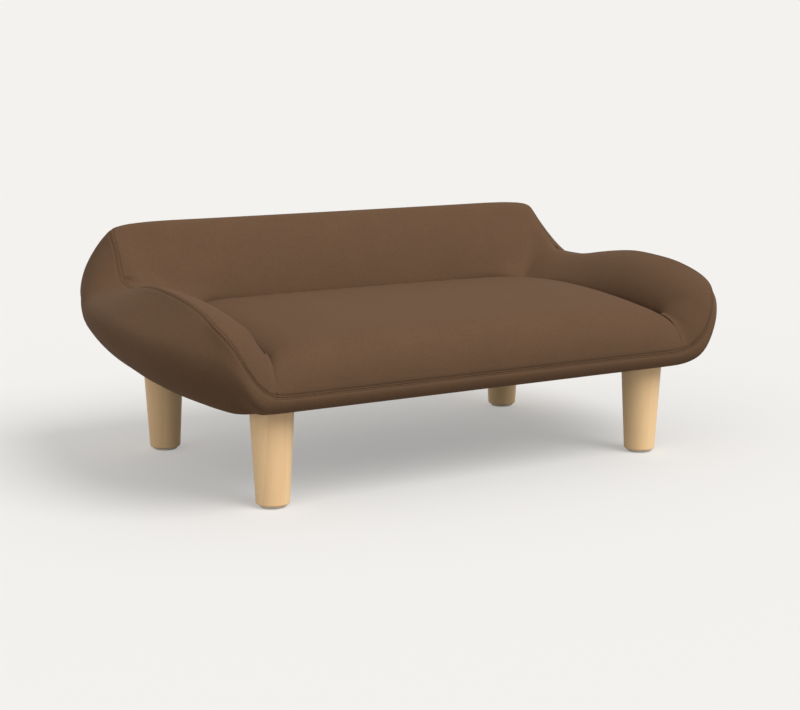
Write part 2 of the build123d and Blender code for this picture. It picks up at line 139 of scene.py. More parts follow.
CORNER_ROWS = np.concatenate([ARM_ROWS[-1:], [
    (320.8, 125.5, 230.5, 241.5, 76.9, 192.5, 49.5, 191.5, 24, 38, 32, 20.4, 36.1, 222, -22),
    (316, 149.6, 256, 240, 80.5, 192.7, 48.5, 200, 34, 14, 32, 15.6, 20.1, 244, -55),
    (313.5, 175.3, 279.6, 237.5, 85, 192.8, 45.5, 201, 38, 5, 28, 9.6, 22.5, 272, -59),
    (302, 178, 282.4, 233.5, 90.1, 192.9, 43.5, 201, 38, 5, 26, 6.8, 22.3, 279.9, -49),
    (285, 180, 283, 229, 93.9, 193, 42, 200.5, 36, 8, 24, 2.4, 22.6, 282.4, -48),
    (255, 180, 283, 216, 102.9, 193, 41.5, 200.5, 36, 10, 21, 0, 22.5, 283, -49),
    (215, 180, 283, 199, 108.1, 193, 41, 200, 36, 11, 20, -2, 22.1, 283, -50),
    (170, 180, 283, 170, 110, 193, 41, 200, 36, 11, 20, -2.8, 21.7, 283, -50),
]])
ARM_STRETCH = np.concatenate([FRONT_ROWS, ARM_ROWS])
# Across the seat: place as a share, shoulder in, shoulder height, pitch
SEAT_ROWS = np.array([
    (0, 41, 196, 9),
    (0.55, 41, 194.4, 9),
    (0.83, 38.5, 187.5, 8.5),
    (1, 34, 176.2, 8.1),
])
# Distances from a seam at which each face has points, and those of the stitches and puckers
NEAR = np.array([0.0, 0.3, 0.7, 1.2, 1.9, 2.5, 3.1, 3.8, 4.8, 6.2, 8.0, 10.5])
STITCH_COLUMN = 5
PUCKER_COLUMN = 8
# Distances from the crease at which the pad and the seat have points
PAD_TAIL = np.array([14.0, 10.0, 7.0, 4.5, 2.5, 1.0, 0.0])
SEAT_TAIL = np.array([40.0, 34.0, 28.0, 22.0, 17.0, 12.5, 9.0, 6.0, 3.5, 1.5, 0.0])
SEAT_SIDE = np.array([0.0, 1.0, 2.2, 3.6, 5.2, 7.2, 10.0, 14.0, 19.0, 26.0])


# Numbers


def monotone(at: Array, places: Array, values: Array) -> Array:
    """Read a smooth curve that never overshoots its values.

    Args:
        at: places to read.
        places: rising places of the given values.
        values: one row per place.

    Returns:
        One row per place read.
    """
    step = np.diff(places)[:, None]
    rate = np.diff(values, axis=0) / step
    slope = np.empty_like(values)
    slope[0], slope[-1] = rate[0], rate[-1]
    one, two = 2 * step[1:] + step[:-1], step[1:] + 2 * step[:-1]
    with np.errstate(divide="ignore", invalid="ignore"):
        mean = (one + two) / (one / rate[:-1] + two / rate[1:])
    slope[1:-1] = np.where(rate[:-1] * rate[1:] > 0, mean, 0.0)
    k = np.clip(np.searchsorted(places, at, side="right") - 1, 0, len(places) - 2)
    h = step[k]
    t = ((at - places[k]) / h[:, 0])[:, None]
    return (
        (2 * t**3 - 3 * t**2 + 1) * values[k] + (t**3 - 2 * t**2 + t) * h * slope[k]
        + (3 * t**2 - 2 * t**3) * values[k + 1] + (t**3 - t**2) * h * slope[k + 1]
    )


def arc(start: Array, tangent: Array, end: Array, share: Array) -> Array:
    """Points on circular arcs, one arc per row, in the complex plane.

    Args:
        start: where each arc begins.
        tangent: unit direction in which it leaves.
        end: where it ends.
        share: shares of its length to read.

    Returns:
        One row per arc and one column per share.
    """
    half = np.angle((end - start) / tangent)
    half = np.where(np.abs(half) < 1e-6, 1e-6, half)[:, None]
    reach = np.sin(half * share) / np.sin(half)
    return start[:, None] + (end - start)[:, None] * reach * np.exp(1j * half * (share - 1))


def resample(curves: Array, distance: Array) -> Array:
    """Read points at given distances along each curve.

    Args:
        curves: rows by points by 3.
        distance: distances from the first point, rows by samples.

    Returns:
        Rows by samples by 3.
    """
    leg = norm(np.diff(curves, axis=1), axis=2)
    along = np.hstack([np.zeros((len(curves), 1)), np.cumsum(leg, axis=1)])
    k = (along[:, None, :] <= distance[:, :, None]).sum(-1) - 1
    k = np.clip(k, 0, curves.shape[1] - 2)
    row = np.arange(len(curves))[:, None]
    low, high = along[row, k], along[row, k + 1]
    t = np.clip((distance - low) / np.maximum(high - low, 1e-9), 0, 1)[..., None]
    return curves[row, k] * (1 - t) + curves[row, k + 1] * t


def lengths(curves: Array) -> Array:
    """Length of each curve, given as rows by points by 3."""
    return norm(np.diff(curves, axis=1), axis=2).sum(1)


def grid_normals(grid: Array, closed: bool = False) -> Array:
    """Unit normals of a grid of points.

    Args:
        grid: rows by columns by 3.
        closed: whether the last row meets the first.

    Returns:
        Normals along the cross product of row and column direction.
    """
    if closed:
        along = np.roll(grid, -1, 0) - np.roll(grid, 1, 0)
    else:
        along = np.gradient(grid, axis=0)
    down = np.gradient(grid, axis=1)
    n = np.cross(along, down)
    return n / np.maximum(norm(n, axis=-1, keepdims=True), 1e-12)


def smoothed(values: Array, places: Array, reach: Array, round_trip: float = 0.0) -> Array:
    """Blend each row with its neighbours under a bell curve.

    Args:
        values: an array whose first axis is blended.
        places: where each row lies along the run.
        reach: reach of the blend at each row.
        round_trip: length of a closed run, or 0 for an open one, whose ends keep their place.

    Returns:
        An array of the same shape.
    """
    gap = np.abs(places[:, None] - places[None])
    share = np.gradient(places)
    if round_trip:
        gap = np.minimum(gap, round_trip - gap)
    else:
        room = np.minimum(places - places[0], places[-1] - places)
        reach = np.minimum(reach, room / 2.5)
    bell = np.exp(-0.5 * (gap / np.maximum(reach, 0.2)[:, None]) ** 2) * share[None]
    bell /= bell.sum(1, keepdims=True)
    return np.tensordot(bell, values, axes=1)


def run_places(line: Array) -> Array:
    """How far along a line each of its points lies."""
    return np.concatenate([[0.0], np.cumsum(norm(np.diff(line, axis=0), axis=1))])


def softened(face: Array, reach: float | Array, weight: Array, wrap: bool = False) -> Array:
    """Smooth a face along its rows where the weight asks for it.

    Args:
        face: rows by columns by 3.
        reach: reach of the blend, for all rows or for each.
        weight: 0 to keep a point and 1 to smooth it fully, rows by columns.
        wrap: whether the last row meets the first.

    Returns:
        The smoothed face.
    """
    places = run_places(face[:, 0])
    closing = norm(face[0, 0] - face[-1, 0])
    soft = smoothed(face, places, np.ones(len(face)) * reach, places[-1] + closing if wrap else 0.0)
    share = np.clip(weight, 0, 1)
    ease = share**2 * (3 - 2 * share)
    return face + (soft - face) * ease[..., None]


def turned(normal: Array, at: tuple[int, int], toward: tuple[float, float, float]) -> Array:
    """The normals, turned about if the one at a place of the grid points away from a direction."""
    return normal if normal[at] @ np.array(toward) > 0 else -normal


# The padded form


@dataclass
class Wall:
    """Upright cuts through the padded wall, one per row."""

    rows: Array
    out: Array = field(init=False)
    width: Array = field(init=False)

    def __post_init__(self) -> None:
        """Work out which way each cut faces."""
        reach = self.rows[:, 0:2] - self.rows[:, 3:5]
        self.width = norm(reach, axis=1)
        self.out = reach / self.width[:, None]

    def column(self, name: Column) -> Array:
        """One named column of the rows."""
        return self.rows[:, name.value]

    def place(self, flat: Array) -> Array:
        """Carry complex points, outward distance and height, into space."""
        xy = self.rows[:, None, 0:2] + flat.real[..., None] * self.out[:, None, :]
        return np.concatenate([xy, flat.imag[..., None]], axis=2)

    def outer(self, inset: float = 0.0, fold: float = 0.0) -> Array:
        """The outer face from the seam down to the base, and in under it.

        Args:
            inset: how far inside the cloth's outer face.
            fold: how far the cloth runs in under the base.

        Returns:
            Rows by points by 3.
        """
        radius = self.column(Column.RADIUS)
        centre = self.column(Column.BULGE) - radius + 1j * self.column(Column.BELLY)
        radius = radius - inset
        up, low = (np.radians(self.column(turn)) for turn in (Column.UPPER_TURN, Column.LOWER_TURN))
        t = np.linspace(0, 1, 60)
        top = centre + radius * np.exp(1j * up)
        bottom = centre + radius * np.exp(-1j * low)
        seam = 1j * self.column(Column.SEAM)[:, 2] - 1j * inset * 1.2
        upper = arc(top, 1j * np.exp(1j * up), seam, t)[:, ::-1]
        turn = up[:, None] + (-low - up)[:, None] * t
        belly = centre[:, None] + radius[:, None] * np.exp(1j * turn)
        base = -self.column(Column.TUCK) - inset / 4 + 1j * (BASE_Z + inset)
        flank = arc(bottom, -1j * np.exp(-1j * low), base, t)
        lower = self._folded(flank, base, fold) if fold else [flank[:, 1:]]
        return self.place(np.hstack([upper, belly[:, 1:], *lower]))

    def _folded(self, flank: Array, base: Array, fold: float) -> list[Array]:
        """Carry the cloth round the edge of the base and in under it.

        Args:
            flank: the lower part of the outer face, down to the base.
            base: where it meets the base.
            fold: how far the cloth runs in.

        Returns:
            The shortened flank, the rounded corner and the last point of each cut.
        """
        count = flank.shape[1]
        length = np.abs(np.diff(flank, axis=1)).sum(1)
        turn_in = min(fold, FOLD_TURN)
        keep = np.clip(np.linspace(0, 1, count)[None, :] * (1 - turn_in / length)[:, None], 0, 1)
        index = keep * (count - 1)
        k = np.clip(index.astype(int), 0, count - 2)
        f = index - k
        row = np.arange(len(flank))[:, None]
        flank = flank[row, k] * (1 - f) + flank[row, k + 1] * f
        room = np.minimum(fold, (self.width - self.column(Column.TUCK)) / 2)
        inner = base - np.minimum(turn_in, room * 0.8)
        b = np.linspace(0, 1, 12)[None, 1:]
        corner = (1 - b) ** 2 * flank[:, -1:] + 2 * b * (1 - b) * base[:, None] + b**2 * inner[:, None]
        return [flank[:, 1:], corner, (base - room)[:, None]]

    def inner(self, count: int = 80) -> Array:
        """The inner face from the seam down to the crease, rows by points by 3."""
        t = np.linspace(0, 1, count)
        pitch = np.radians(self.column(Column.PITCH))
        shoulder = -self.column(Column.SHOULDER_IN) + 1j * self.column(Column.SHOULDER_Z)
        normal = np.sin(pitch) + 1j * np.cos(pitch)
        seam = 1j * self.column(Column.SEAM)[:, 2]
        crease = -self.width + 1j * self.column(Column.CREASE)[:, 2]
        roll = arc(shoulder, normal * -1j, seam, t)[:, ::-1]
        face = arc(shoulder, normal * 1j, crease, t)
        return self.place(np.hstack([roll, face[:, 1:]]))


def stations(rows: Array, count: int, first: int = 0, last: int = -1) -> Array:
    """Even cuts along a stretch of wall.

    Args:
        rows: the given rows.
        count: how many cuts to read.
        first: the row to start from.
        last: the row to end at.

    Returns:
        One row per cut.
    """
    wall = Wall(rows)
    belly = rows[:, 0:2] + rows[:, 6:7] * wall.out
    at_seam, at_belly = (norm(np.diff(line, axis=0), axis=1) for line in (rows[:, 0:3], belly))
    places = np.concatenate([[0], np.cumsum(at_seam + at_belly)])
    return monotone(np.linspace(places[first], places[last], count), places, rows)


def straight(row: Array, first: float, last: float, count: int) -> Array:
    """Cuts along a straight stretch that runs across the sofa, without its last one."""
    rows = np.repeat(row[None], count, axis=0)
    x = np.linspace(first, last, count, endpoint=False)
    rows[:, 0] = x
    rows[:, 3] = x
    return rows


@dataclass
class Relief:
    """Small relief that sewing leaves on a padded face."""

    lip: float = 0.45
    stitch_line: float = 2.5
    stitch_sink: float = 0.5
    stitch_reach: float = 0.7
    swell_line: float = 6.5
    swell_rise: float = 0.25
    swell_reach: float = 3.0
    crease_sink: float = 1.8
    crease_reach: float = 4.0
    joint_sink: float = 2.2
    joint_reach: float = 4.5
    joint_from: float = 3.0
    joint_ease: float = 16.0
    edge_drop: float = 5.5
    edge_ease: float = 30.0
    rear_drop: float = 3.6
    seat_sink: float = 4.5
    seat_reach: float = 9.0
    pucker_sink: float = 2.6
    pucker_reach: float = 4.0
    pucker_line: float = 5.0
    pucker_width: float = 5.0

    def near_seam(self, distance: Array) -> Array:
        """How far the cloth sinks at a distance from a seam."""
        d = np.clip(self.lip - distance, 0, self.lip)
        lip = self.lip - np.sqrt(np.maximum(self.lip**2 - d**2, 0))
        line = self.stitch_sink * np.exp(-((distance - self.stitch_line) / self.stitch_reach) ** 2)
        swell = -self.swell_rise * np.exp(-((distance - self.swell_line) / self.swell_reach) ** 2)
        return lip + line + swell

    def near_crease(self, distance: Array) -> Array:
        """How far the cloth sinks at a distance from a crease."""
        return self.crease_sink * np.exp(-distance / self.crease_reach)

    def near_joint(self, distance: Array, from_seam: Array) -> Array:
        """How far a seat end and a nose sink beside the joint between them.

        Args:
            distance: distance from the joint.
            from_seam: distance from the seam, where the joint closes.

        Returns:
            The sink.
        """
        closing = np.clip((from_seam - self.joint_from) / self.joint_ease, 0, 1)
        return self.joint_sink * np.exp(-distance / self.joint_reach) * closing

    def pucker(self, reach: Array, distance: Array) -> Array:
        """How far the cloth sinks round the end of the backrest's seam.

        Args:
            reach: distance along the seam from the pucker.
            distance: distance from the seam.

        Returns:
            The sink.
        """
        beside = ((distance - self.pucker_line) / self.pucker_width) ** 2
        return self.pucker_sink * np.exp(-(reach / self.pucker_reach) ** 2 - beside)


def spread(length: Array, near: Array, count: int, tail: Array | None = None) -> Array:
    """Distances along curves, dense at the seam and even after it.

    Args:
        length: length of each curve.
        near: distances kept as they are.
        count: even samples after them.
        tail: distances from the far end that are kept as they are.

    Returns:
        Rows by samples.
    """
    end = length - (tail[0] if tail is not None else 0)
    t = np.linspace(0, 1, count + 1)[1:]
    head = np.minimum(near[None, :], (length * 0.5)[:, None] * near[None, :] / near[-1])
    body = head[:, -1:] + (end[:, None] - head[:, -1:]) * t
    rest = [] if tail is None else [length[:, None] - tail[None, 1:]]
    return np.hstack([head, body, *rest])


# Meshes


def linked(name: str, data: bpy.types.ID) -> Object:
    """A new object at the origin, in the scene."""
    obj = bpy.data.objects.new(name, data)
    bpy.context.scene.collection.objects.link(obj)
    return obj


def mesh_piece(name: str, points: Array, faces: list | Array, seam: Array) -> Object:
    """Make one mesh object.

    Args:
        name: name of the piece.
        points: its vertices.
        faces: lists of vertex indices, or an array of quads.
        seam: distance of each vertex from a seam, for the finish.

    Returns:
        The new object, linked into the scene.
    """
    mesh = bpy.data.meshes.new(name)
    faces = faces if isinstance(faces, list) else faces.tolist()
    mesh.from_pydata((points.reshape(-1, 3) * MM).tolist(), [], faces)
    mesh.validate()
    mesh.update()
    layer = mesh.attributes.new("seam", "FLOAT", "POINT")
    layer.data.foreach_set("value", seam.astype(np.float32).ravel())
    mesh.polygons.foreach_set("use_smooth", np.ones(len(mesh.polygons), dtype=bool))
    mesh.set_sharp_from_angle(angle=math.radians(50.0))
    obj = linked(name, mesh)
    log.info("%s: %d vertices, %d faces", name, len(mesh.vertices), len(mesh.polygons))
    return obj


def grid_faces(rows: int, columns: int, wrap_rows: bool = False, wrap_columns: bool = False) -> Array:
    """Quads of a grid whose points are counted row by row.

    Args:
        rows: how many rows.
        columns: how many columns.
        wrap_rows: whether the last row meets the first.
        wrap_columns: whether the last column meets the first.

    Returns:
        One row per quad.
    """
    r = np.arange(rows if wrap_rows else rows - 1)
    c = np.arange(columns if wrap_columns else columns - 1)
    a, b = np.meshgrid(r, c, indexing="ij")
    a2, b2 = (a + 1) % rows, (b + 1) % columns
    quads = np.stack([a * columns + b, a2 * columns + b, a2 * columns + b2, a * columns + b2], axis=-1)
    return quads.reshape(-1, 4)


def outward(obj: Object) -> Object:
    """Turn the faces of a closed piece outward."""
    work = bmesh.new()
    work.from_mesh(obj.data)
    bmesh.ops.recalc_face_normals(work, faces=work.faces)
    if work.calc_volume(signed=True) < 0:
        bmesh.ops.reverse_faces(work, faces=work.faces)
    work.to_mesh(obj.data)
    work.free()
    return obj


# Sewn pieces


@dataclass
class Swelling:
    """Lets the padding swell under its cloth in a simulation."""

    pressure: float = 4.0
    frames: int = 20
    step: float = 7.0
    share: float = 0.4
    cap: float = 2.0
    ease: float = 22.0
    mass: float = 0.3
    stretch: float = 40.0
    shear: float = 15.0
    bend: float = 3.0

    def moved(self, grid: Array, pinned: Array) -> Array:
        """Simulate one sheet of cloth with pressure behind it.

        Args:
            grid: its points, rows by columns by 3.
            pinned: which of them are held.

        Returns:
            The points after the simulation.
        """
        mesh = bpy.data.meshes.new("swelling")
        mesh.from_pydata((grid.reshape(-1, 3) * MM).tolist(), [], grid_faces(*grid.shape[:2]).tolist())
        sheet = linked("swelling", mesh)
        scene = bpy.context.scene
        sheet.vertex_groups.new(name="held").add(np.flatnonzero(pinned).tolist(), 1.0, "REPLACE")
        cloth = sheet.modifiers.new("cloth", "CLOTH")
        settings = cloth.settings
        settings.vertex_group_mass = "held"
        settings.use_pressure = True
        settings.uniform_pressure_force = self.pressure
        settings.effector_weights.gravity = 0.0
        settings.mass = self.mass
        settings.tension_stiffness = settings.compression_stiffness = self.stretch
        settings.shear_stiffness = self.shear
        settings.bending_stiffness = self.bend
        cloth.point_cache.frame_start = 1
        cloth.point_cache.frame_end = self.frames
        for frame in range(1, self.frames + 1):
            scene.frame_set(frame)
        result = sheet.evaluated_get(bpy.context.evaluated_depsgraph_get()).to_mesh()
        flat = np.empty(len(result.vertices) * 3, dtype=np.float32)
        result.vertices.foreach_get("co", flat)
        scene.frame_set(1)
        bpy.data.objects.remove(sheet)
        bpy.data.meshes.remove(mesh)
        return flat.reshape(grid.shape).astype(float) / MM

    def rise(self, name: str, face: Array, normal: Array, distance: Array) -> Array:
        """How far the padding lifts each point of a face whose four edges are held.

        Args:
            name: name of the piece, for the log.
            face: points of the face, rows by columns by 3.
            normal: its outward normals.
            distance: distance of each point from the seam.

        Returns:
            The lift, rows by columns.
        """
        rows = len(face)
        spacing = norm(np.diff(face, axis=0), axis=2).mean(1).mean()
        keep = np.arange(0, rows, max(1, int(round(self.step / spacing))))
        if keep[-1] != rows - 1:
            keep = np.append(keep, rows - 1)
        length = distance[keep, -1:] - distance[keep, :1]
        count = max(8, int(round(length.mean() / self.step)))
        wanted = distance[keep, :1] + length * np.linspace(0, 1, count)[None]
        coarse = resample(face[keep], wanted)
        out = grid_normals(coarse)
        out *= np.sign((out * normal[keep][:, :1]).sum(-1).mean() or 1.0)
        pinned = np.zeros(coarse.shape[:2], dtype=bool)
        pinned[:, [0, -1]] = True
        pinned[[0, -1]] = True
        lift = ((self.moved(coarse, pinned) - coarse) * out).sum(-1)
        log.info("%s: simulated lift %.1f to %.1f mm", name, lift.min(), lift.max())
        lift = lift - lift.mean(1, keepdims=True)
        lift = smoothed(lift, run_places(coarse[:, 0]), np.full(len(lift), 2 * self.step))
        lift = np.clip(self.share * lift, -self.cap, self.cap)
        lift *= np.clip(wanted / self.ease, 0, 1) * np.clip((wanted[:, -1:] - wanted) / self.ease, 0, 1)
        share = (distance - distance[:, :1]) / (distance[:, -1:] - distance[:, :1]) * (count - 1)
        k = np.clip(np.searchsorted(keep, np.arange(rows), side="right") - 1, 0, len(keep) - 2)
        t = ((np.arange(rows) - keep[k]) / (keep[k + 1] - keep[k]))[:, None]
        j = np.clip(share.astype(int), 0, count - 2)
        u = share - j
        low, high = (lift[row[:, None], j] * (1 - u) + lift[row[:, None], j + 1] * u for row in (k, k + 1))
        return low * (1 - t) + high * t


@dataclass
class Thread:
    """The stitches along a seam."""

    pitch: float = 4.4
    length: float = 3.1
    thick: float = 0.42
    flat: float = 0.8
    lift: float = 0.12
    dip: float = 0.22
    near: float = 0.8
    rings: int = 7
    sides: int = 6

    def row(self, name: str, line: Array, normal: Array, closed: bool) -> None:
        """One row of stitches.

        Args:
            name: name of the piece.
            line: points along the row, on the cloth.
            normal: the cloth's normals there.
            closed: whether the row runs right round.
        """
        if closed:
            line, normal = (np.concatenate([values, values[:1]]) for values in (line, normal))
        along = run_places(line)
        at = np.arange(self.pitch, along[-1] - self.pitch, self.pitch)
        centre, ahead, behind, up = (
            np.stack([np.interp(at + shift, along, values[:, k]) for k in range(3)], axis=1)
            for shift, values in ((0, line), (self.near, line), (-self.near, line), (0, normal))
        )
        tangent = ahead - behind
        tangent /= norm(tangent, axis=1, keepdims=True)
        side = np.cross(up, tangent)
        side /= norm(side, axis=1, keepdims=True)
        up = np.cross(tangent, side)
        u = np.linspace(-1, 1, self.rings)
        swell = np.sqrt(np.maximum(1 - np.abs(u) ** 3, 0.02))[:, None]
        turn = np.linspace(0, 2 * np.pi, self.sides, endpoint=False)
        bow = self.dip * np.repeat(u[:, None] ** 2, self.sides, 1)
        shape = np.stack([
            np.repeat(u[:, None] * self.length / 2, self.sides, 1),
            swell * np.cos(turn) * self.thick,
            swell * np.sin(turn) * self.thick * self.flat - bow,
        ], axis=-1).reshape(-1, 3)
        stitch = shape[None, :, :1] * tangent[:, None] + shape[None, :, 1:2] * side[:, None]
        stitch = stitch + shape[None, :, 2:] * up[:, None]
        points = centre[:, None] + self.lift * up[:, None] + stitch
        size = self.rings * self.sides
        offset = (np.arange(len(at)) * size)[:, None, None]
        quads = grid_faces(self.rings, self.sides, wrap_columns=True)
        faces = (quads[None] + offset).reshape(-1, 4).tolist()
        for cap in (np.arange(self.sides)[::-1], np.arange(size - self.sides, size)):
            faces += (cap[None] + offset[:, 0]).tolist()
        piece = mesh_piece(name, points, faces, np.full(points.shape[:2], NO_SEAM))
        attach(outward(piece), BODY)


@dataclass
class SewnBody:
    """All the cloth and padding of the sofa."""

    relief: Relief = field(default_factory=Relief)
    swelling: Swelling = field(default_factory=Swelling)
    thread: Thread = field(default_factory=Thread)
    arm_count: int = 150
    corner_count: int = 120
    front_count: int = 46
    back_count: int = 30
    blend: float = 9.0
    notch_blend: float = 4.0
    notch_from: tuple[float, float] = (290.0, 105.0)
    joint_blend: float = 30.0
    nose_blend: float = 9.0
    blend_from: tuple[float, float] = (-60.0, 60.0)
    outer_blend: float = 8.0
    outer_edge: float = 45.0
    pad_edge: float = 26.0
    crease_edge: float = 12.0
    drop_from: tuple[float, float] = (40.0, 120.0)
    rear_tuck: float = 4.5
    nose_ease: float = 9.0
    nose_clearance: float = 8.0
    nose_reach: float = 22.0
    pucker_row: int = 153
    seam_lines: dict[str, tuple[Array, Array]] = field(default_factory=dict)
    rows: Array = field(init=False)
    first_arm_row: int = field(init=False)
    seat_places: Array = field(init=False)
    seat_curves: Array = field(init=False)

    @property
    def flip(self) -> Array:
        """Signs that carry a row to the other side of the middle."""
        signs = np.ones(ARM_ROWS.shape[1])
        signs[[0, 3]] = -1
        return signs

    def __post_init__(self) -> None:
        """Lay out the cuts along the right half of the wall, from front to back."""
        front = stations(ARM_STRETCH, self.front_count, 0, len(FRONT_ROWS))
        arm = stations(ARM_STRETCH, self.arm_count, len(FRONT_ROWS))
        corner = stations(CORNER_ROWS, self.corner_count)
        back = straight(CORNER_ROWS[-1], CORNER_ROWS[-1, 0], 0.0, self.back_count)
        end = straight(CORNER_ROWS[-1], 0.0, 0.0, 1)
        half = np.concatenate([front[:-1], arm[:-1], corner[:-1], back, end])
        whole = np.concatenate([half, (half[::-1] * self.flip)[1:-1]])
        places = run_places(whole[:, :3])
        round_trip = places[-1] + norm(whole[0, :3] - whole[-1, :3])
        tight = (np.abs(whole[:, 0]) > self.notch_from[0]) & (whole[:, 1] > self.notch_from[1])
        reach = np.where(tight, self.notch_blend, self.blend)
        self.rows = smoothed(whole, places, reach, round_trip)[:len(half)]
        self.first_arm_row = self.front_count - 1
        self.seat_places, self.seat_curves = self.seat_form()
        inner = self.rows[self.first_arm_row:]
        drop = np.interp(inner[:, 4], self.drop_from, (self.relief.edge_drop, self.relief.rear_drop))
        drop = drop * np.clip(run_places(inner[:, 3:5]) / self.relief.edge_ease, 0, 1)
        inner[:, 5] = np.minimum(inner[:, 5] + 30.0, self.seat_height(inner[:, 3], inner[:, 4]) - drop)

    def outer_cover(self) -> None:
        """The outer cover: one closed sheet of cloth round the whole sofa."""
        wall = Wall(self.rows)
        dense = wall.outer(0.0, fold=UNDER_FOLD)
        distance = spread(lengths(dense), NEAR, 34)
        ring = resample(dense, distance)
        ring = np.concatenate([ring, ring[-2:0:-1] * (-1.0, 1.0, 1.0)])
        distance = np.concatenate([distance, distance[-2:0:-1]])
        ring = softened(ring, self.outer_blend, distance / self.outer_edge, wrap=True)
        normal = turned(grid_normals(ring, closed=True), (5, 20), (0, -1, 0))
        face = ring - normal * self.relief.near_seam(distance)[..., None]
        back = ring - normal * CLOTH
        rings = np.hstack([face, back[:, ::-1]])
        self.seam_lines["outer"] = face[:, STITCH_COLUMN], normal[:, STITCH_COLUMN]
        seam = np.hstack([distance, distance[:, ::-1]])
        faces = grid_faces(*rings.shape[:2], wrap_rows=True, wrap_columns=True)
        piece = mesh_piece("outer_cover", rings, faces, seam)
        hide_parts("left_outer_cover", "right_outer_cover", "back_cover", "front_band")
        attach(outward(piece), BODY)

    def inner_pad(self) -> None:
        """The padded arms and backrest under one inner cover, from nose to nose."""
        half = self.rows[self.first_arm_row:]
        rows = np.concatenate([half, (half[::-1] * self.flip)[1:]])
        wall = Wall(rows)
        dense = wall.inner()
        length = lengths(dense)
        distance = spread(length, NEAR, 26, PAD_TAIL)
        behind = length[:, None] - distance
        face = resample(dense, distance)
        blend = np.interp(rows[:, 1], self.blend_from, (self.nose_blend, self.joint_blend))
        face = softened(face, blend, np.minimum(distance / self.pad_edge, behind / self.crease_edge))
        ends = run_places(face[:, 0])
        ends = np.minimum(ends, ends[-1] - ends)[:, None]
        seat = self.seat_height(face[..., 0].ravel(), face[..., 1].ravel()).reshape(face.shape[:2])
        pull = (seat - face[..., 2]) * np.exp(-((ends / self.nose_ease) ** 2))
        face[..., 2] += pull * np.clip(distance / self.crease_edge, 0, 1)
        normal = turned(grid_normals(face), (len(face) // 2, face.shape[1] // 2), (0, -1, 0))
        face = face + normal * self.swelling.rise("inner_pad", face, normal, distance)[..., None]
        joint = self.relief.near_joint(ends, distance)
        sink = self.relief.near_seam(distance) + np.maximum(self.relief.near_crease(behind), joint)
        for row in (self.pucker_row, len(face) - 1 - self.pucker_row):
            reach = norm(face[:, PUCKER_COLUMN] - face[row, PUCKER_COLUMN], axis=1)
            sink = sink + self.relief.pucker(reach[:, None], distance)
        face = face - normal * sink[..., None]
        self.seam_lines["inner"] = face[:, STITCH_COLUMN], normal[:, STITCH_COLUMN]
        crease = face[:, -1]
        floor = np.column_stack([crease[:, :2], np.full(len(crease), BASE_Z + 4)])
        foot = np.stack([crease + [0, 0, -20.0], floor], axis=1)
        hidden = wall.outer(PAD_INSET)
        hidden = resample(hidden, spread(lengths(hidden), np.array([0.0, 2.0]), 14))[:, ::-1]
        hidden[..., 1] += self.nose_clearance * np.exp(-((ends / self.nose_reach) ** 2))
        rings = np.hstack([face, foot, hidden])
        unseen = np.full((len(rings), rings.shape[1] - distance.shape[1]), NO_SEAM)
        seam = np.hstack([distance, unseen])
        index = np.arange(seam.size).reshape(seam.shape)
        faces = grid_faces(*seam.shape, wrap_columns=True).tolist()
        faces += [index[0, ::-1].tolist(), index[-1].tolist()]
        piece = mesh_piece("inner_pad", rings, faces, seam)
        parts = ("arm_foam", "arm_cover", "corner_foam", "corner_cover")
        sides = [side + part for side in ("left_", "right_") for part in parts]
        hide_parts(*sides, "backrest_foam", "backrest_cover")
        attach(outward(piece), BODY)

    def seat_form(self) -> tuple[Array, Array]:
        """The plain form of the seat: places across it, and its curve from front to back at each."""
        xs = np.linspace(-1, 1, 81) * SEAT_SPAN
        rows = np.repeat(ARM_ROWS[:1], len(xs), axis=0)
        rows[:, 0] = rows[:, 3] = xs
        rows[:, 4], rows[:, 5] = CREASE_Y, CREASE_Z
        front = self.rows[:self.first_arm_row + 3]
        for column in (1, 2):
            rows[:, column] = np.interp(np.abs(xs), front[:, 0], front[:, column])
        shoulder = monotone(np.abs(xs) / SEAT_HALF, SEAT_ROWS[:, 0], SEAT_ROWS[:, 1:])
        rows[:, Column.SHOULDER_IN.value:] = shoulder
        return xs, Wall(rows).inner(140)

    def seat_height(self, x: Array, y: Array) -> Array:
        """Height of the plain seat at places on it."""
        heights = np.array([np.interp(y, curve[:, 1], curve[:, 2]) for curve in self.seat_curves])
        place = np.interp(x, self.seat_places, np.arange(len(heights)))
        place = np.clip(place, 0, len(heights) - 1.001)
        k = place.astype(int)
        n = np.arange(len(x))
        return heights[k, n] * (1 - place + k) + heights[k + 1, n] * (place - k)

